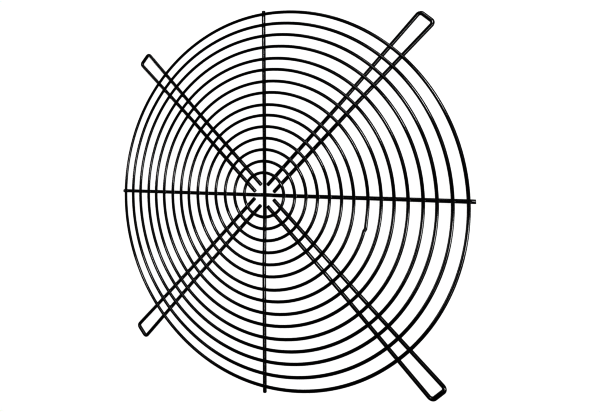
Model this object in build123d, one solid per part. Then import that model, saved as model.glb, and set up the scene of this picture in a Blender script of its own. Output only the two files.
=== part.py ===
from build123d import *
import os
from math import cos, degrees, radians, sin, tan

# Welded wire fan guard: concentric rings on two cross wires and four hairpin legs.
# It lies face up, with the rings on top and the wires that carry them underneath.
# The origin is under the middle of the rings, at the lowest wire; X and Y follow the cross wires.

# Rings, counted from the middle
ring_count = 15
ring_pitch = 10.0
first_ring_radius = 19.0
ring_wire = 2.4

# How far a ring's middle lies off the guard's middle, in ring pitches, where it shows
ring_drift_shares = {
    7: (-0.03, -0.085),
    8: (0.06, -0.02),
    9: (0.06, -0.03),
    11: (0.0, -0.03),
    12: (0.035, 0.02),
    13: (-0.035, 0.04),
    14: (-0.01, 0.03),
}

# The one ring whose butt weld is out of line: its first end was left straight by the rolls
stepped_ring = 8
stepped_joint_angle = 344.3
straight_end_angle = 8.0
full_turn = 360.0
joint_gap = 0.6
joint_bead = 2.7

# Cross wires and legs
stay_wire = 3.0

# Welds: how deep the wires are pressed into each other
ring_set_down = 0.4
middle_set_down = 0.8

# Cross wire across the photograph's width, with a joggle under the other one
horizontal_length = 327.0
horizontal_drop = 0.35
joggle_length = 18.0
joggle_floor_length = 7.0
joggle_bend_radius = 6.0

# Cross wire up and down, whose lower half lies a little to the left
vertical_length = 327.4
vertical_slide = 1.2
lower_half_shift = 0.95
shift_start = 20.0
shift_run = 42.0
shift_bend_radius = 600.0

# Hairpin legs: two wires that splay towards a loop for the fixing screw
leg_root = 8.4
leg_reach = 192.2
root_span = 8.3
waist_span = 9.8
loop_span = 13.5
waist_place = 105.0
waist_bend_radius = 600.0
loop_corner_radius = 2.7

# Each leg as it was welded: the quarter whose diagonal it follows, its turn off that diagonal,
# its shift sideways and outwards in leg wires, and how much longer it was bent, in leg wires
quarter_turn = 90.0
leg_quarter_number = {
    "upper_left": 1,
    "upper_right": 0,
    "lower_left": 2,
    "lower_right": 3,
}
leg_turn_angle = {
    "upper_left": 0.4,
    "upper_right": -0.1,
    "lower_left": 0.3,
    "lower_right": 0.3,
}
leg_shift_shares = {
    "upper_left": (0.13, -0.05),
    "upper_right": (-0.08, -0.15),
    "lower_left": (-0.15, 0.3),
    "lower_right": (-0.33, 0.13),
}
leg_length_shares = {
    "upper_left": 0.28,
    "upper_right": -0.08,
    "lower_left": 0.16,
    "lower_right": -0.33,
}

# Heights of the centre lines
joggle_depth = stay_wire - middle_set_down
stay_level = stay_wire / 2 + joggle_depth
ring_level = stay_level + (stay_wire + ring_wire) / 2 - ring_set_down


def wire_along(path, diameter):
    """Round wire along a path, with ends cut square."""
    start = Plane(origin=path @ 0, z_dir=path % 0)
    return sweep(start * Circle(diameter / 2), path=path)


def ring_radius(number):
    """Radius of a ring's centre line."""
    return first_ring_radius + (number - 1) * ring_pitch


def ring_place(number):
    """Place of a ring's middle."""
    drift_x, drift_y = ring_drift_shares.get(number, (0, 0))
    return Pos(drift_x * ring_pitch, drift_y * ring_pitch, ring_level)


def closed_ring(radius):
    """Ring whose butt weld is in line, so that it can't be seen."""
    return Torus(radius, ring_wire / 2)


def stepped_ring_solid(radius):
    """Ring with one straight end, which its butt weld joins to the other out of line."""
    touch_degrees = stepped_joint_angle + straight_end_angle
    touch_angle = radians(touch_degrees)
    touch = Vector(radius * cos(touch_angle), radius * sin(touch_angle))
    along = Vector(-sin(touch_angle), cos(touch_angle))
    straight_length = radius * tan(radians(straight_end_angle)) - joint_gap / 2
    arc_degrees = full_turn - straight_end_angle - degrees(joint_gap / 2 / radius)
    straight_end = Line(touch - along * straight_length, touch)
    rolled = CenterArc((0, 0), radius, touch_degrees, arc_degrees)
    ring = wire_along(Wire([straight_end, rolled]), ring_wire)
    middle = (straight_end @ 0 + rolled @ 1) / 2
    return ring + Pos(middle) * Sphere(joint_bead / 2)


def vertical_wire():
    """Cross wire that lies flat, set a little to the left below the middle."""
    top = vertical_length / 2 - vertical_slide
    bottom = -vertical_length / 2 - vertical_slide
    shifted = -lower_half_shift
    path = FilletPolyline(
        (0, top, stay_level),
        (0, -shift_start, stay_level),
        (shifted, -shift_start - shift_run, stay_level),
        (shifted, bottom, stay_level),
        radius=shift_bend_radius,
    )
    return wire_along(path, stay_wire)


def horizontal_wire():
    """Cross wire that dips under the other one in the middle."""
    half = horizontal_length / 2
    low = stay_level - joggle_depth
    path = FilletPolyline(
        (-half, -horizontal_drop, stay_level),
        (-joggle_length / 2, -horizontal_drop, stay_level),
        (-joggle_floor_length / 2, -horizontal_drop, low),
        (joggle_floor_length / 2, -horizontal_drop, low),
        (joggle_length / 2, -horizontal_drop, stay_level),
        (half, -horizontal_drop, stay_level),
        radius=joggle_bend_radius,
    )
    return wire_along(path, stay_wire)


def hairpin_leg(name):
    """Leg bent from one wire: two splayed sides and the short end of its loop."""
    loop_end = leg_reach + leg_length_shares[name] * stay_wire
    side_points = [
        (leg_root, root_span / 2),
        (waist_place, waist_span / 2),
        (loop_end, loop_span / 2),
    ]
    other_points = [(along, -across) for along, across in reversed(side_points)]
    radii = [waist_bend_radius, loop_corner_radius, loop_corner_radius, waist_bend_radius]
    path = FilletPolyline(*side_points, *other_points, radius=radii)
    sideways, outwards = leg_shift_shares[name]
    diagonal = (leg_quarter_number[name] + 1 / 2) * quarter_turn
    place = Rot(0, 0, diagonal + leg_turn_angle[name]) * Pos(
        outwards * stay_wire, sideways * stay_wire, stay_level
    )
    return place * wire_along(path, stay_wire)


def all_parts():
    """Every wire of the guard, with the rings seated in the wires under them."""
    rings = {}
    for number in range(1, ring_count + 1):
        shape = stepped_ring_solid if number == stepped_ring else closed_ring
        rings[f"ring_{number:02d}"] = ring_place(number) * shape(ring_radius(number))
    vertical = vertical_wire()
    stays = {
        "cross_wire_vertical": vertical,
        "cross_wire_horizontal": horizontal_wire() - vertical,
    }
    for name in leg_quarter_number:
        stays[f"leg_{name}"] = hairpin_leg(name)
    for name in stays:
        stays[name] = stays[name] - list(rings.values())
    return {**rings, **stays}


os.makedirs("parts", exist_ok=True)
for node, solid in all_parts().items():
    export_step(solid, f"parts/{node}.step")
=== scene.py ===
from math import atan2, ceil, cos, pi, radians, sin, tan

import bpy
from bpy.props import FloatProperty, FloatVectorProperty, IntProperty, PointerProperty
from mathutils import Matrix, Vector


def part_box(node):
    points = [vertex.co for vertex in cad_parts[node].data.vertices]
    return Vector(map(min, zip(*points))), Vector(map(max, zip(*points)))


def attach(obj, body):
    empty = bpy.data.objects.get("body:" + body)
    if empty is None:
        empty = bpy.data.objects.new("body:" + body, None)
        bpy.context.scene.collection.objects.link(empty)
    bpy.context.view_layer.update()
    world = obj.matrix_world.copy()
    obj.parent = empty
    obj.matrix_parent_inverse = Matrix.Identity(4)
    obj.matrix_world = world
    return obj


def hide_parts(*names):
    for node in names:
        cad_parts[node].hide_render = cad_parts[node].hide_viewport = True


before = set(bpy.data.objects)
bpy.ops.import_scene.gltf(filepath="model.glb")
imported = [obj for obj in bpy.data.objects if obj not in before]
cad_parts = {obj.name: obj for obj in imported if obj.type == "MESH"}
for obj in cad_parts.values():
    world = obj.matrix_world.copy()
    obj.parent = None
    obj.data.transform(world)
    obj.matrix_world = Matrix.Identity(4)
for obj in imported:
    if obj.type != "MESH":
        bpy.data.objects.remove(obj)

bl_info = {
    "name": "Wire fan guard",
    "version": (1, 0, 0),
    "blender": (4, 5, 0),
    "location": "3D View > Sidebar > Fan Guard",
    "description": "Builds a welded wire fan guard with its coat, and a pale studio round it",
    "category": "Object",
}

BODY = "root"
RING_NODES = sorted(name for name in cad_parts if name.startswith("ring_"))
STEPPED_RING = "ring_08"
VERTICAL_NODE = "cross_wire_vertical"
HORIZONTAL_NODE = "cross_wire_horizontal"
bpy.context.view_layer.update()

# Each leg: the quarter whose diagonal it follows, its turn off that diagonal in degrees, its shift
# sideways and outwards, and how much longer it was bent, all three in leg wires
LEGS = {
    "leg_upper_right": (0, -0.1, -0.08, -0.15, -0.08),
    "leg_upper_left": (1, 0.4, 0.13, -0.05, 0.28),
    "leg_lower_left": (2, 0.3, -0.15, 0.3, 0.16),
    "leg_lower_right": (3, 0.3, -0.33, 0.13, -0.33),
}
QUARTER_TURN = 90.0

# How finely centre lines are drawn
POINT_SPACING = 0.005       # largest distance between two points
BEND_STEP = radians(11.0)   # largest turn between two points of a bend
LEAST_RING_POINTS = 72      # so that the smallest rings look round too
STRAIGHT_STEPS = 4          # along the stepped ring's straight end
END_STEPS = 3               # over the rounding of a cut end

# Balls that the weld collars and the joint bead are made from
BALL_SIDES = 10
BALL_ROWS = 6
BEAD_COAT_SHARE = 1.02      # coated bead against bare bead
SEAM_DEPTH_SHARE = 1.25     # how far collars lie below a stay's top, against the rings' set-down

# Camera: where it stands, how it is turned, its lens, and how the photograph was framed
CAMERA_PLACE = (0.17423, 0.02526, 0.35038)
CAMERA_RIGHT = (0.8789, -0.00374, -0.47699)
CAMERA_UP = (0.03755, 0.99741, 0.06137)
CAMERA_BACK = (0.47553, -0.07185, 0.87676)
SENSOR_WIDTH = 36.0
LENS_LENGTH = 26.652
FRAME_SHIFT = (0.0825, -0.12083)

# Display: steep tones and a sharp pixel filter, because the photograph is nearly black on white
DISPLAY_GAMMA = 0.40
PIXEL_FILTER_WIDTH = 1.25


def linear_colour(code):
    """Turns an sRGB hex colour into the linear colour that Blender's sockets take."""
    values = [int(code[i:i + 2], 16) / 255 for i in (1, 3, 5)]
    return tuple(v / 12.92 if v <= 0.04045 else ((v + 0.055) / 1.055) ** 2.4 for v in values)


# Sizes, finish and studio


class GuardSizes(bpy.types.PropertyGroup):
    """Sizes of the wires and their bends."""

    ring_wire: FloatProperty(
        name="Ring wire", description="Diameter of the coated wire of a ring",
        default=0.0024, subtype="DISTANCE")
    stay_wire: FloatProperty(
        name="Stay wire", description="Diameter of the coated wire of cross wires and legs",
        default=0.003, subtype="DISTANCE")
    ring_set_down: FloatProperty(
        name="Ring set-down", description="How deep a ring is pressed into the wires under it",
        default=0.0004, subtype="DISTANCE")
    middle_set_down: FloatProperty(
        name="Middle set-down", description="How deep the two cross wires are pressed together",
        default=0.0008, subtype="DISTANCE")
    straight_end: FloatProperty(
        name="Straight end", description="Angle over which the stepped ring's end stayed straight",
        default=radians(8.0), subtype="ANGLE")
    joint_angle: FloatProperty(
        name="Joint angle", description="Place of the stepped ring's butt weld",
        default=radians(344.3), subtype="ANGLE")
    joint_gap: FloatProperty(
        name="Joint gap", description="Gap that the butt weld's bead fills",
        default=0.0006, subtype="DISTANCE")
    joint_bead: FloatProperty(
        name="Joint bead", description="Diameter of the butt weld's bead",
        default=0.0027, subtype="DISTANCE")
    joggle_length: FloatProperty(
        name="Joggle length", description="Length of the dip under the vertical cross wire",
        default=0.018, subtype="DISTANCE")
    joggle_floor_length: FloatProperty(
        name="Joggle floor", description="Length of the dip's lowest part",
        default=0.007, subtype="DISTANCE")
    joggle_bend_radius: FloatProperty(
        name="Joggle bend radius", description="Radius of the dip's four bends",
        default=0.006, subtype="DISTANCE")
    horizontal_drop: FloatProperty(
        name="Horizontal drop",
        description="How far the horizontal cross wire lies below the middle",
        default=0.00035, subtype="DISTANCE")
    lower_half_shift: FloatProperty(
        name="Lower half shift",
        description="How far the vertical wire's lower half lies to the left",
        default=0.00095, subtype="DISTANCE")
    shift_start: FloatProperty(
        name="Shift start", description="Distance below the middle at which the shift begins",
        default=0.02, subtype="DISTANCE")
    shift_run: FloatProperty(
        name="Shift run", description="Length over which the wire shifts",
        default=0.042, subtype="DISTANCE")
    gentle_bend_radius: FloatProperty(
        name="Gentle bend radius",
        description="Radius of the slight bends in the vertical wire and the legs",
        default=0.6, subtype="DISTANCE")
    leg_root: FloatProperty(
        name="Leg root", description="Distance from the middle to a leg's cut ends",
        default=0.0084, subtype="DISTANCE")
    leg_reach: FloatProperty(
        name="Leg reach", description="Distance from the middle to a loop's end wire",
        default=0.1922, subtype="DISTANCE")
    root_span: FloatProperty(
        name="Root span", description="Distance between a leg's two sides at its cut ends",
        default=0.0083, subtype="DISTANCE")
    waist_span: FloatProperty(
        name="Waist span", description="Distance between a leg's two sides at its waist",
        default=0.0098, subtype="DISTANCE")
    loop_span: FloatProperty(
        name="Loop span", description="Distance between a leg's two sides at its loop",
        default=0.0135, subtype="DISTANCE")
    waist_place: FloatProperty(
        name="Waist place", description="Distance from the middle to a leg's waist",
        default=0.105, subtype="DISTANCE")
    loop_corner_radius: FloatProperty(
        name="Loop corner radius", description="Radius of a loop's two corners",
        default=0.0027, subtype="DISTANCE")
    cut_edge: FloatProperty(
        name="Cut edge", description="Rounding that the coat gives a wire's cut end",
        default=0.0003, subtype="DISTANCE")
    waviness: FloatProperty(
        name="Waviness", description="How far a drawn and straightened wire strays from its line",
        default=0.00006, subtype="DISTANCE")
    wave_length: FloatProperty(
        name="Wave length", description="Distance over which a wire strays and comes back",
        default=0.06, subtype="DISTANCE")
    section_sides: IntProperty(
        name="Section sides", description="Sides of the round wire's section", default=20, min=8)


class WeldSizes(bpy.types.PropertyGroup):
    """Sizes of the metal squeezed out where two wires are welded, under the coat."""

    collar_length: FloatProperty(
        name="Collar length",
        description="Length of a collar along the wire that carries the ring",
        default=0.0042, subtype="DISTANCE")
    collar_width: FloatProperty(
        name="Collar width", description="Width of a collar along the ring",
        default=0.0033, subtype="DISTANCE")
    collar_height: FloatProperty(
        name="Collar height", description="Height of a collar across the seam",
        default=0.0019, subtype="DISTANCE")
    uneven: FloatProperty(
        name="Uneven", description="How much collars differ in size, as a share",
        default=0.12, min=0.0, max=0.5)


class StudioSettings(bpy.types.PropertyGroup):
    """Floor and lights."""

    floor_side: FloatProperty(
        name="Floor side", description="Side of the light table's top",
        default=8.0, subtype="DISTANCE")
    floor_colour: FloatVectorProperty(
        name="Floor colour", description="Colour of the light table's opal top",
        default=linear_colour("#2A2A2A"), size=3, subtype="COLOR")
    table_glow: FloatProperty(
        name="Table glow", description="Light that comes up through the opal top", default=0.955)
    room_strength: FloatProperty(
        name="Room strength", description="Brightness of the room's white walls", default=1.0)
    light_distance: FloatProperty(
        name="Light distance", description="Distance from the guard to a softbox",
        default=1.2, subtype="DISTANCE")


# Softboxes: each one's two ends as seen from the guard (degrees from straight up, then degrees
# round from the right), its width in metres and its brightness
SOFTBOXES = (
    ("softbox_high", (22.0, 63.0), (54.0, 38.0), 0.24, 35.0),
    ("softbox_far", (40.0, 73.0), (68.0, 62.0), 0.24, 15.0),
    ("softbox_right", (34.0, 15.0), (48.0, 25.0), 0.24, 11.0),
    ("strip_box_right", (24.0, -36.0), (80.0, -14.0), 0.26, 20.0),
    ("softbox_near", (35.0, -42.0), (48.0, -43.0), 0.20, 24.0),
    ("softbox_over", (18.0, 119.0), (24.0, 123.0), 0.22, 15.0),
    ("softbox_low_far", (66.0, 92.0), (78.0, 92.0), 0.22, 13.0),
    ("softbox_left", (54.0, 179.0), (70.0, 176.0), 0.24, 10.0),
    ("softbox_low_left", (80.0, 174.0), (89.0, 174.0), 0.26, 13.0),
)


# Shared steps


def heading(from_top, round_from_right):
    """Direction from the guard, from its angle to straight up and its angle round."""
    tilt, turn = radians(from_top), radians(round_from_right)
    return Vector((sin(tilt) * cos(turn), sin(tilt) * sin(turn), cos(tilt)))


def add_node(tree, kind, inputs=None, **settings):
    """Adds one node with its settings, its input values and its links."""
    node = tree.nodes.new(kind)
    for name, value in settings.items():
        setattr(node, name, value)
    for key, value in (inputs or {}).items():
        if isinstance(value, bpy.types.NodeSocket):
            tree.links.new(value, node.inputs[key])
        else:
            node.inputs[key].default_value = value
    return node


def powder_coat_on_steel():
    """Glossy black powder coat on drawn steel wire.

    The coat gives the wires their deep black and the thin soft highlights along them. It flows
    out a little unevenly as it melts, which breaks a highlight up (orange peel, about 1.5 mm from
    crest to crest), and its gloss changes a little from place to place.
    """
    name = "black_powder_coat_on_steel_wire"
    made = bpy.data.materials.get(name)
    if made:
        return made
    crest_to_crest = 0.0015
    crest_height = 0.00006
    patch_size = 0.012
    material = bpy.data.materials.new(name)
    material.use_nodes = True
    tree = material.node_tree
    tree.nodes.clear()
    place = add_node(tree, "ShaderNodeTexCoord")
    peel = add_node(tree, "ShaderNodeTexNoise", {
        "Vector": place.outputs["Object"], "Scale": 1 / crest_to_crest, "Detail": 2.0})
    patches = add_node(tree, "ShaderNodeTexNoise", {
        "Vector": place.outputs["Object"], "Scale": 1 / patch_size, "Detail": 3.0})
    gloss = add_node(tree, "ShaderNodeMapRange", {
        "Value": patches.outputs["Fac"], "From Min": 0.3, "From Max": 0.7,
        "To Min": 0.10, "To Max": 0.16})
    shade = add_node(tree, "ShaderNodeMix", {
        "Factor": patches.outputs["Fac"],
        "A": (*linear_colour("#0A0A0B"), 1.0), "B": (*linear_colour("#141415"), 1.0)},
        data_type="RGBA")
    bump = add_node(tree, "ShaderNodeBump", {
        "Height": peel.outputs["Fac"], "Strength": 0.25, "Distance": crest_height})
    shader = add_node(tree, "ShaderNodeBsdfPrincipled", {
        "Base Color": shade.outputs["Result"], "Roughness": gloss.outputs["Result"],
        "Normal": bump.outputs["Normal"], "IOR": 1.5})
    add_node(tree, "ShaderNodeOutputMaterial", {"Surface": shader.outputs["BSDF"]})
    return material


def levels():
    """Heights of the stays' centre lines, and of the dip under the vertical wire."""
    sizes = bpy.context.scene.guard_sizes
    depth = sizes.stay_wire - sizes.middle_set_down
    stay = sizes.stay_wire / 2 + depth
    return stay, stay - depth


def on_circle(middle, radius, angle):
    """Point of a level circle, at an angle round from the right."""
    return middle + radius * Vector((cos(angle), sin(angle), 0.0))


def rounded_line(corners, radii):
    """Points along a line of straight runs whose inner corners are rounded by arcs."""
    corners = [Vector(corner) for corner in corners]
    points = [corners[0]]
    for corner, radius, before, after in zip(corners[1:-1], radii, corners, corners[2:]):
        back, ahead = (before - corner).normalized(), (after - corner).normalized()
        turn = pi - back.angle(ahead)
        middle = corner + (back + ahead).normalized() * radius / cos(turn / 2)
        start = corner + back * radius * tan(turn / 2)
        count = max(2, ceil(turn / BEND_STEP), ceil(turn * radius / POINT_SPACING))
        arm = start - middle
        axis = back.cross(ahead).normalized()
        for i in range(count + 1):
            points.append(middle + Matrix.Rotation(-turn * i / count, 3, axis) @ arm)
    points.append(corners[-1])
    dense = [points[0]]
    for point in points[1:]:
        run = point - dense[-1]
        steps = ceil(run.length / POINT_SPACING)
        for i in range(1, steps):
            dense.append(point - run * (1 - i / steps))
        dense.append(point)
    return dense


def rounded_ends(points, edge, wire):
    """Rounds off a wire's cut ends, and gives each point with its share of the wire's radius."""
    ends = []
    for first, second in ((points[0], points[1]), (points[-1], points[-2])):
        along = (second - first).normalized()
        extra = []
        for i in range(END_STEPS + 1):
            turn = pi / 2 * i / END_STEPS
            share = 1 - (1 - sin(turn)) * edge / (wire / 2)
            extra.append((first + along * edge * (1 - cos(turn)), share))
        ends.append(extra)
    inner = [(point, 1.0) for point in points[1:-1]
             if min((point - points[0]).length, (point - points[-1]).length) > 2 * edge]
    return ends[0] + inner + ends[1][::-1]


def wire_tree():
    """Sweeps a round section along the object's own curve, with a slight natural waviness."""
    name = "coated_wire_along_curve"
    if name in bpy.data.node_groups:
        return bpy.data.node_groups[name]
    noise_gain = 4.0    # the noise stays within about a quarter of its middle
    tree = bpy.data.node_groups.new(name, "GeometryNodeTree")
    for label, kind in (
        ("Curve", "NodeSocketGeometry"), ("Wire diameter", "NodeSocketFloat"),
        ("Section sides", "NodeSocketInt"), ("Waviness", "NodeSocketFloat"),
        ("Wave length", "NodeSocketFloat"), ("Seed", "NodeSocketFloat"),
        ("Coat", "NodeSocketMaterial"),
    ):
        tree.interface.new_socket(label, in_out="INPUT", socket_type=kind)
    tree.interface.new_socket("Wire", in_out="OUTPUT", socket_type="NodeSocketGeometry")
    given = add_node(tree, "NodeGroupInput").outputs
    position = add_node(tree, "GeometryNodeInputPosition")
    waves = add_node(tree, "ShaderNodeMath", {
        0: 1.0, 1: given["Wave length"]}, operation="DIVIDE")
    stray = add_node(tree, "ShaderNodeTexNoise", {
        "Vector": position.outputs["Position"], "W": given["Seed"], "Detail": 0.0,
        "Scale": waves.outputs["Value"]}, noise_dimensions="4D")
    centred = add_node(tree, "ShaderNodeVectorMath", {
        0: stray.outputs["Color"], 1: (0.5, 0.5, 0.5)}, operation="SUBTRACT")
    flat = add_node(tree, "ShaderNodeVectorMath", {
        0: centred.outputs["Vector"], 1: (noise_gain, noise_gain, 0.0)}, operation="MULTIPLY")
    offset = add_node(tree, "ShaderNodeVectorMath", {
        0: flat.outputs["Vector"], "Scale": given["Waviness"]}, operation="SCALE")
    moved = add_node(tree, "GeometryNodeSetPosition", {
        "Geometry": given["Curve"], "Offset": offset.outputs["Vector"]})
    radius = add_node(tree, "ShaderNodeMath", {
        0: given["Wire diameter"], 1: 0.5}, operation="MULTIPLY")
    section = add_node(tree, "GeometryNodeCurvePrimitiveCircle", {
        "Resolution": given["Section sides"], "Radius": radius.outputs["Value"]})
    share = add_node(tree, "GeometryNodeInputRadius")
    swept = add_node(tree, "GeometryNodeCurveToMesh", {
        "Curve": moved.outputs["Geometry"], "Profile Curve": section.outputs["Curve"],
        "Scale": share.outputs["Radius"], "Fill Caps": True})
    smooth = add_node(tree, "GeometryNodeSetShadeSmooth", {"Geometry": swept.outputs["Mesh"]})
    real = add_node(tree, "GeometryNodeRealizeInstances", {"Geometry": smooth.outputs["Geometry"]})
    coated = add_node(tree, "GeometryNodeSetMaterial", {
        "Geometry": real.outputs["Geometry"], "Material": given["Coat"]})
    add_node(tree, "NodeGroupOutput", {"Wire": coated.outputs["Geometry"]})
    return tree


def collar_tree():
    """Puts a small rounded collar on each point, turned along the stay, each a bit different."""
    name = "weld_collars_on_points"
    if name in bpy.data.node_groups:
        return bpy.data.node_groups[name]
    tree = bpy.data.node_groups.new(name, "GeometryNodeTree")
    for label, kind in (
        ("Points", "NodeSocketGeometry"), ("Length", "NodeSocketFloat"),
        ("Width", "NodeSocketFloat"), ("Height", "NodeSocketFloat"),
        ("Uneven", "NodeSocketFloat"), ("Seed", "NodeSocketInt"), ("Coat", "NodeSocketMaterial"),
    ):
        tree.interface.new_socket(label, in_out="INPUT", socket_type=kind)
    tree.interface.new_socket("Collars", in_out="OUTPUT", socket_type="NodeSocketGeometry")
    given = add_node(tree, "NodeGroupInput").outputs
    ball = add_node(tree, "GeometryNodeMeshUVSphere", {
        "Segments": BALL_SIDES, "Rings": BALL_ROWS, "Radius": 0.5})
    smooth = add_node(tree, "GeometryNodeSetShadeSmooth", {"Geometry": ball.outputs["Mesh"]})
    size = add_node(tree, "ShaderNodeCombineXYZ", {
        "X": given["Length"], "Y": given["Width"], "Z": given["Height"]})
    least = add_node(tree, "ShaderNodeMath", {0: 1.0, 1: given["Uneven"]}, operation="SUBTRACT")
    most = add_node(tree, "ShaderNodeMath", {0: 1.0, 1: given["Uneven"]}, operation="ADD")
    drawn = add_node(tree, "FunctionNodeRandomValue", {
        "Min": least.outputs["Value"], "Max": most.outputs["Value"], "Seed": given["Seed"]},
        data_type="FLOAT")
    scale = add_node(tree, "ShaderNodeVectorMath", {
        0: size.outputs["Vector"], "Scale": drawn.outputs["Value"]}, operation="SCALE")
    facing = add_node(tree, "GeometryNodeInputNamedAttribute", {
        "Name": "heading"}, data_type="FLOAT")
    euler = add_node(tree, "ShaderNodeCombineXYZ", {"Z": facing.outputs["Attribute"]})
    turn = add_node(tree, "FunctionNodeEulerToRotation", {"Euler": euler.outputs["Vector"]})
    placed = add_node(tree, "GeometryNodeInstanceOnPoints", {
        "Points": given["Points"], "Instance": smooth.outputs["Geometry"],
        "Rotation": turn.outputs["Rotation"], "Scale": scale.outputs["Vector"]})
    real = add_node(tree, "GeometryNodeRealizeInstances", {
        "Geometry": placed.outputs["Instances"]})
    coated = add_node(tree, "GeometryNodeSetMaterial", {
        "Geometry": real.outputs["Geometry"], "Material": given["Coat"]})
    add_node(tree, "NodeGroupOutput", {"Collars": coated.outputs["Geometry"]})
    return tree


def mesh_by_nodes(name, data, tree, values):
    """Runs a node tree on an object once, and returns the result as a plain mesh object."""
    source = bpy.data.objects.new(name + "_source", data)
    bpy.context.scene.collection.objects.link(source)
    modifier = source.modifiers.new("build", "NODES")
    modifier.node_group = tree
    for item in tree.interface.items_tree:
        if item.in_out == "INPUT" and item.name in values:
            modifier[item.identifier] = values[item.name]
    bpy.context.view_layer.update()
    evaluated = source.evaluated_get(bpy.context.evaluated_depsgraph_get())
    mesh = bpy.data.meshes.new_from_object(evaluated)
    mesh.name = name
    bpy.data.objects.remove(source)
    piece = bpy.data.objects.new(name, mesh)
    bpy.context.scene.collection.objects.link(piece)
    return piece


def own(piece, node=None):
    """Puts a finished piece on the guard's body, in place of its CAD node."""
    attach(piece, BODY)
    if node:
        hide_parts(node)


def wire_piece(node, points, wire, closed=False):
    """Makes the visible wire for one CAD node from the points of its centre line."""
    sizes = bpy.context.scene.guard_sizes
    if closed:
        rows = [(point, 1.0) for point in points]
    else:
        rows = rounded_ends(points, sizes.cut_edge, wire)
    data = bpy.data.curves.new(node + "_line", "CURVE")
    data.dimensions = "3D"
    spline = data.splines.new("POLY")
    spline.points.add(len(rows) - 1)
    for target, (point, share) in zip(spline.points, rows):
        target.co = (*point, 1.0)
        target.radius = share
    spline.use_cyclic_u = closed
    seed = float(sorted(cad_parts).index(node))
    piece = mesh_by_nodes("coated_" + node, data, wire_tree(), {
        "Wire diameter": wire, "Section sides": sizes.section_sides, "Waviness": sizes.waviness,
        "Wave length": sizes.wave_length, "Seed": seed, "Coat": powder_coat_on_steel()})
    own(piece, node)


def ring_middle_and_radius(node):
    """A ring's middle and the radius of its centre line, from its CAD node."""
    low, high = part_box(node)
    middle = (Vector(low) + Vector(high)) / 2
    return middle, (high[0] - low[0] - bpy.context.scene.guard_sizes.ring_wire) / 2


def vertical_line():
    """Centre line of the vertical cross wire, with its small shift below the middle."""
    sizes = bpy.context.scene.guard_sizes
    stay = levels()[0]
    low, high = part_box(VERTICAL_NODE)
    shifted = -sizes.lower_half_shift
    corners = (
        (0.0, high[1], stay),
        (0.0, -sizes.shift_start, stay),
        (shifted, -sizes.shift_start - sizes.shift_run, stay),
        (shifted, low[1], stay),
    )
    return rounded_line(corners, [sizes.gentle_bend_radius] * 2)


def horizontal_line():
    """Centre line of the horizontal cross wire, with its joggle under the vertical one."""
    sizes = bpy.context.scene.guard_sizes
    stay, dip = levels()
    low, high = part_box(HORIZONTAL_NODE)
    drop = -sizes.horizontal_drop
    corners = (
        (low[0], drop, stay),
        (-sizes.joggle_length / 2, drop, stay),
        (-sizes.joggle_floor_length / 2, drop, dip),
        (sizes.joggle_floor_length / 2, drop, dip),
        (sizes.joggle_length / 2, drop, stay),
        (high[0], drop, stay),
    )
    return rounded_line(corners, [sizes.joggle_bend_radius] * 4)


def leg_place(node):
    """Turns and shifts a leg drawn along X to where it was welded."""
    sizes = bpy.context.scene.guard_sizes
    quarter, turn, sideways, outwards = LEGS[node][:4]
    angle = radians((quarter + 0.5) * QUARTER_TURN + turn)
    shift = Vector((outwards * sizes.stay_wire, sideways * sizes.stay_wire, 0.0))
    return Matrix.Rotation(angle, 4, "Z") @ Matrix.Translation(shift)


def leg_line(node):
    """Centre line of a hairpin leg, from one cut end round the loop to the other."""
    sizes = bpy.context.scene.guard_sizes
    stay = levels()[0]
    loop_end = sizes.leg_reach + LEGS[node][-1] * sizes.stay_wire
    side = (
        (sizes.leg_root, sizes.root_span / 2, stay),
        (sizes.waist_place, sizes.waist_span / 2, stay),
        (loop_end, sizes.loop_span / 2, stay),
    )
    other = [(along, -across, up) for along, across, up in reversed(side)]
    place = leg_place(node)
    radii = [sizes.gentle_bend_radius, sizes.loop_corner_radius,
             sizes.loop_corner_radius, sizes.gentle_bend_radius]
    return [place @ point for point in rounded_line((*side, *other), radii)]


def crossings(line):
    """Where a stay's centre line passes under a ring: each place, with the stay's direction."""
    found = []
    for node in RING_NODES:
        middle, radius = ring_middle_and_radius(node)
        for start, end in zip(line, line[1:]):
            near, far = (start - middle).xy.length, (end - middle).xy.length
            if min(near, far) <= radius < max(near, far):
                share = (radius - near) / (far - near)
                found.append((start.lerp(end, share), (end - start).normalized()))
    return found


# Operators


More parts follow.
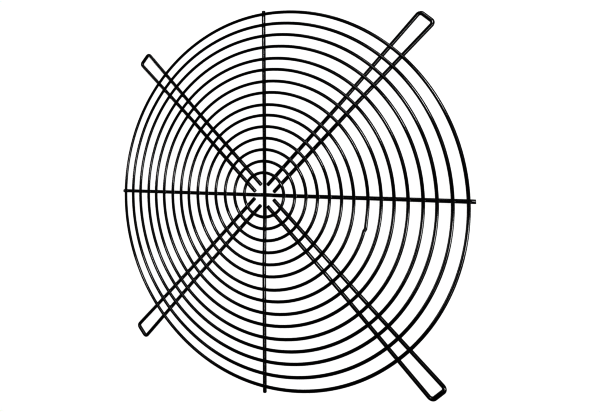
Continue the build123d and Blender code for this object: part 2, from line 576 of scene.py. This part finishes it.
class GUARD_OT_rings(bpy.types.Operator):
    """Make the concentric rings, with the one whose butt weld is out of line"""

    bl_idname = "guard.rings"
    bl_label = "Rings"

    def execute(self, context):
        sizes = context.scene.guard_sizes
        for node in RING_NODES:
            middle, radius = ring_middle_and_radius(node)
            # Whole quarters, so that a ring has points at its four widest places
            count = 4 * ceil(max(2 * pi * radius / POINT_SPACING, LEAST_RING_POINTS) / 4)
            if node == STEPPED_RING:
                self.stepped_ring(node, middle, radius, count)
            else:
                points = [on_circle(middle, radius, 2 * pi * i / count) for i in range(count)]
                wire_piece(node, points, sizes.ring_wire, closed=True)
        return {"FINISHED"}

    @staticmethod
    def stepped_ring(node, middle, radius, count):
        """Ring with one straight end, which a bead of weld joins to the other end out of line."""
        sizes = bpy.context.scene.guard_sizes
        touch_angle = sizes.joint_angle + sizes.straight_end
        half_gap = sizes.joint_gap / 2
        touch = on_circle(middle, radius, touch_angle)
        along = Vector((-sin(touch_angle), cos(touch_angle), 0.0))
        straight = radius * tan(sizes.straight_end) - half_gap
        points = [touch - along * straight * (1 - i / STRAIGHT_STEPS)
                  for i in range(STRAIGHT_STEPS)]
        turn = 2 * pi - sizes.straight_end - half_gap / radius
        for i in range(count + 1):
            points.append(on_circle(middle, radius, touch_angle + turn * i / count))
        wire_piece(node, points, sizes.ring_wire)
        data = bpy.data.meshes.new("joint_point")
        data.from_pydata([(points[0] + points[-1]) / 2], [], [])
        across = sizes.joint_bead * BEAD_COAT_SHARE
        own(mesh_by_nodes("joint_bead_of_" + node, data, collar_tree(), {
            "Length": across, "Width": across, "Height": across, "Uneven": 0.0, "Seed": 1,
            "Coat": powder_coat_on_steel()}))


class GUARD_OT_cross_wires(bpy.types.Operator):
    """Make the two cross wires"""

    bl_idname = "guard.cross_wires"
    bl_label = "Cross wires"

    def execute(self, context):
        wire = context.scene.guard_sizes.stay_wire
        wire_piece(VERTICAL_NODE, vertical_line(), wire)
        wire_piece(HORIZONTAL_NODE, horizontal_line(), wire)
        return {"FINISHED"}


class GUARD_OT_legs(bpy.types.Operator):
    """Make the four hairpin legs"""

    bl_idname = "guard.legs"
    bl_label = "Legs"

    def execute(self, context):
        for node in LEGS:
            wire_piece(node, leg_line(node), context.scene.guard_sizes.stay_wire)
        return {"FINISHED"}


class GUARD_OT_weld_collars(bpy.types.Operator):
    """Make the collars of metal and coat at each weld, one piece for each stay"""

    bl_idname = "guard.weld_collars"
    bl_label = "Weld collars"

    def execute(self, context):
        sizes, welds = context.scene.guard_sizes, context.scene.weld_sizes
        stay = levels()[0]
        seam = stay + sizes.stay_wire / 2 - sizes.ring_set_down * SEAM_DEPTH_SHARE
        lines = {VERTICAL_NODE: vertical_line(), HORIZONTAL_NODE: horizontal_line()}
        lines.update({node: leg_line(node) for node in LEGS})
        for seed, (node, line) in enumerate(lines.items()):
            places, directions = zip(*crossings(line))
            data = bpy.data.meshes.new(node + "_seams")
            data.from_pydata([(place.x, place.y, seam) for place in places], [], [])
            facing = data.attributes.new("heading", "FLOAT", "POINT")
            for item, along in zip(facing.data, directions):
                item.value = atan2(along.y, along.x)
            own(mesh_by_nodes("weld_collars_of_" + node, data, collar_tree(), {
                "Length": welds.collar_length, "Width": welds.collar_width,
                "Height": welds.collar_height, "Uneven": welds.uneven, "Seed": seed,
                "Coat": powder_coat_on_steel()}))
        return {"FINISHED"}


class GUARD_OT_stage(bpy.types.Operator):
    """Lay the light table's top, and set the lights and the camera"""

    bl_idname = "guard.stage"
    bl_label = "Stage"

    def execute(self, context):
        self.floor(context)
        self.lights(context)
        self.camera(context)
        return {"FINISHED"}

    @staticmethod
    def floor(context):
        """Opal top of a light table: matt, and pale from the light under it, so without shadows."""
        settings = context.scene.studio_settings
        grain_size = 0.004
        half = settings.floor_side / 2
        mesh = bpy.data.meshes.new("light_table_top")
        mesh.from_pydata([(-half, -half, 0), (half, -half, 0), (half, half, 0), (-half, half, 0)],
                         [], [(0, 1, 2, 3)])
        floor = bpy.data.objects.new("light_table_top", mesh)
        context.scene.collection.objects.link(floor)
        material = bpy.data.materials.new("opal_acrylic_lit_from_below")
        material.use_nodes = True
        tree = material.node_tree
        tree.nodes.clear()
        place = add_node(tree, "ShaderNodeTexCoord")
        grain = add_node(tree, "ShaderNodeTexNoise", {
            "Vector": place.outputs["Object"], "Scale": 1 / grain_size, "Detail": 2.0})
        bump = add_node(tree, "ShaderNodeBump", {
            "Height": grain.outputs["Fac"], "Strength": 0.05, "Distance": 0.0001})
        shader = add_node(tree, "ShaderNodeBsdfPrincipled", {
            "Base Color": (*settings.floor_colour, 1.0), "Roughness": 0.8,
            "Specular IOR Level": 0.0, "Emission Color": (1.0, 1.0, 1.0, 1.0),
            "Emission Strength": settings.table_glow, "Normal": bump.outputs["Normal"]})
        add_node(tree, "ShaderNodeOutputMaterial", {"Surface": shader.outputs["BSDF"]})
        mesh.materials.append(material)

    @staticmethod
    def lights(context):
        """Softboxes round the guard, and a room of white walls that the coat doesn't show."""
        settings = context.scene.studio_settings
        world = bpy.data.worlds.new("white_room")
        world.use_nodes = True
        background = world.node_tree.nodes["Background"]
        background.inputs["Color"].default_value = (1.0, 1.0, 1.0, 1.0)
        background.inputs["Strength"].default_value = settings.room_strength
        context.scene.world = world
        world.cycles_visibility.glossy = False
        for name, near_end, far_end, width, radiance in SOFTBOXES:
            first, last = heading(*near_end), heading(*far_end)
            back = (first + last).normalized()
            along = (last - first).normalized()
            length = 2 * settings.light_distance * tan(first.angle(last) / 2)
            light = bpy.data.lights.new(name, "AREA")
            light.shape = "RECTANGLE"
            light.size = length
            light.size_y = width
            light.energy = radiance * pi * length * width
            lamp = bpy.data.objects.new(name, light)
            turn = Matrix((along, back.cross(along), back)).transposed().to_4x4()
            lamp.matrix_world = Matrix.Translation(back * settings.light_distance) @ turn
            context.scene.collection.objects.link(lamp)
        context.scene.view_settings.view_transform = "Standard"
        context.scene.view_settings.gamma = DISPLAY_GAMMA
        context.scene.cycles.filter_width = PIXEL_FILTER_WIDTH

    @staticmethod
    def camera(context):
        """Camera above the guard's right side, turned and shifted as the photograph was framed."""
        data = bpy.data.cameras.new("camera")
        data.sensor_width = SENSOR_WIDTH
        data.lens = LENS_LENGTH
        data.shift_x, data.shift_y = FRAME_SHIFT
        camera = bpy.data.objects.new("camera", data)
        turn = Matrix((CAMERA_RIGHT, CAMERA_UP, CAMERA_BACK)).transposed().to_4x4()
        camera.matrix_world = Matrix.Translation(CAMERA_PLACE) @ turn
        context.scene.collection.objects.link(camera)
        context.scene.camera = camera


class GUARD_PT_panel(bpy.types.Panel):
    """Lists the guard's sizes and its making, step by step"""

    bl_idname = "GUARD_PT_panel"
    bl_label = "Wire fan guard"
    bl_space_type = "VIEW_3D"
    bl_region_type = "UI"
    bl_category = "Fan Guard"

    def draw(self, context):
        for group in (context.scene.guard_sizes, context.scene.weld_sizes,
                      context.scene.studio_settings):
            for name in group.__annotations__:
                self.layout.prop(group, name)
        for operator in OPERATORS:
            self.layout.operator(operator.bl_idname)


OPERATORS = (
    GUARD_OT_rings, GUARD_OT_cross_wires, GUARD_OT_legs, GUARD_OT_weld_collars, GUARD_OT_stage)
CLASSES = (GuardSizes, WeldSizes, StudioSettings, *OPERATORS, GUARD_PT_panel)


def register():
    """Registers the add-on's classes and its settings on the scene."""
    for item in CLASSES:
        bpy.utils.register_class(item)
    bpy.types.Scene.guard_sizes = PointerProperty(type=GuardSizes)
    bpy.types.Scene.weld_sizes = PointerProperty(type=WeldSizes)
    bpy.types.Scene.studio_settings = PointerProperty(type=StudioSettings)


def unregister():
    """Takes the add-on's settings and classes away again."""
    del bpy.types.Scene.studio_settings
    del bpy.types.Scene.weld_sizes
    del bpy.types.Scene.guard_sizes
    for item in reversed(CLASSES):
        bpy.utils.unregister_class(item)


def main():
    """Builds the guard and its stage."""
    register()
    bpy.ops.guard.rings()
    bpy.ops.guard.cross_wires()
    bpy.ops.guard.legs()
    bpy.ops.guard.weld_collars()
    bpy.ops.guard.stage()


if __name__ == "__main__":
    main()
